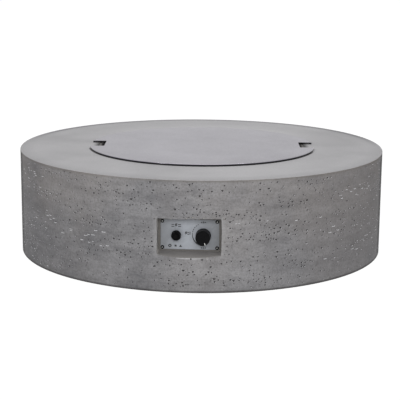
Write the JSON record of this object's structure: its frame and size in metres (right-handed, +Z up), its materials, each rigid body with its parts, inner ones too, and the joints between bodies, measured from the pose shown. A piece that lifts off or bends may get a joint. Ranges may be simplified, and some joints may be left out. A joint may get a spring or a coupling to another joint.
{
  "type": "fire pit table",
  "caption": "Low round concrete fire pit table with a loose stainless lid over the fire bowl and a recessed panel with a gas knob and a push igniter.",
  "frame": {"origin": "centre of the drum's base, on the ground", "axes": "+Z up, the control panel faces -Y, +X to the right seen from the front"},
  "size_m": [1.0699, 1.07, 0.306],
  "materials": {
    "cast_concrete": "matte",
    "brushed_stainless": "satin",
    "plain_stainless": "satin",
    "pan_stainless": "satin",
    "burner_stainless": "satin",
    "panel_finish": "satin",
    "plated_steel": "satin",
    "black_plated_steel": "satin",
    "galvanised_steel": "matte",
    "brass": "satin",
    "coated_gas_line": "satin",
    "white_ceramic": "matte",
    "electrode_steel": "satin",
    "copper_lead": "satin",
    "spring_steel": "satin",
    "black_plastic": "satin",
    "white_paint": "matte",
    "button_rubber": "matte",
    "battery_sleeve": "gloss",
    "tinned_brass": "satin",
    "silicone_sleeve": "matte"
  },
  "bodies": {
    "drum": {"concrete_body": "cast_concrete", "burner_pan": "pan_stainless", "burner_ring": "burner_stainless", "burner_nipple": "galvanised_steel", "pan_locknuts": "galvanised_steel", "air_mixer": "brass", "orifice_fitting": "brass", "gas_line": "coated_gas_line", "flare_nuts": "brass", "pilot_bracket": "pan_stainless", "bracket_screws": "plated_steel", "spark_insulator": "white_ceramic", "spark_electrode": "electrode_steel", "thermocouple": "electrode_steel", "thermocouple_lead": "copper_lead", "thermocouple_nut": "brass", "control_panel": "panel_finish", "panel_screws": "black_plated_steel", "panel_anchors": "brass", "valve_body": "brass", "neck_nut": "plated_steel", "valve_spring": "spring_steel", "valve_end_cap": "brass", "valve_inlet_fitting": "brass", "valve_outlet_fitting": "brass", "igniter_housing": "black_plastic", "igniter_ring_nut": "black_plastic", "igniter_cap": "black_plastic", "igniter_spring": "spring_steel", "igniter_battery": "battery_sleeve", "spade_terminals": "tinned_brass", "wire_sleeves": "silicone_sleeve", "igniter_wire": "silicone_sleeve"},
    "lid": {"lid": "brushed_stainless", "lid_stiffeners": "plain_stainless", "lid_locators": "plain_stainless"},
    "valve_rotor": {"valve_plug": "brass"},
    "gas_knob": {"knob": "black_plastic", "knob_pointer": "white_paint", "valve_stem": "plated_steel"},
    "igniter_button": {"igniter_button": "button_rubber"}
  },
  "joints": [
    {"name": "lid_lift", "type": "slide", "parent": "drum", "child": "lid", "axis": [0, 0, 1], "range_m": [0, 0.2]},
    {"name": "knob_turn", "type": "hinge", "parent": "drum", "child": "valve_rotor", "pos_m": [0.0355, -0.499, 0.146], "axis": [0, 1, 0], "range_deg": [0, 201]},
    {"name": "knob_push", "type": "slide", "parent": "valve_rotor", "child": "gas_knob", "axis": [0, 1, 0], "range_m": [0, 0.003], "stiffness_N_per_m": 1500, "springref_m": -0.003, "deforming": ["valve_spring"]},
    {"name": "igniter_push", "type": "slide", "parent": "drum", "child": "igniter_button", "axis": [0, 1, 0], "range_m": [0, 0.0025], "stiffness_N_per_m": 1200, "springref_m": -0.002, "deforming": ["igniter_spring"]}
  ]
}
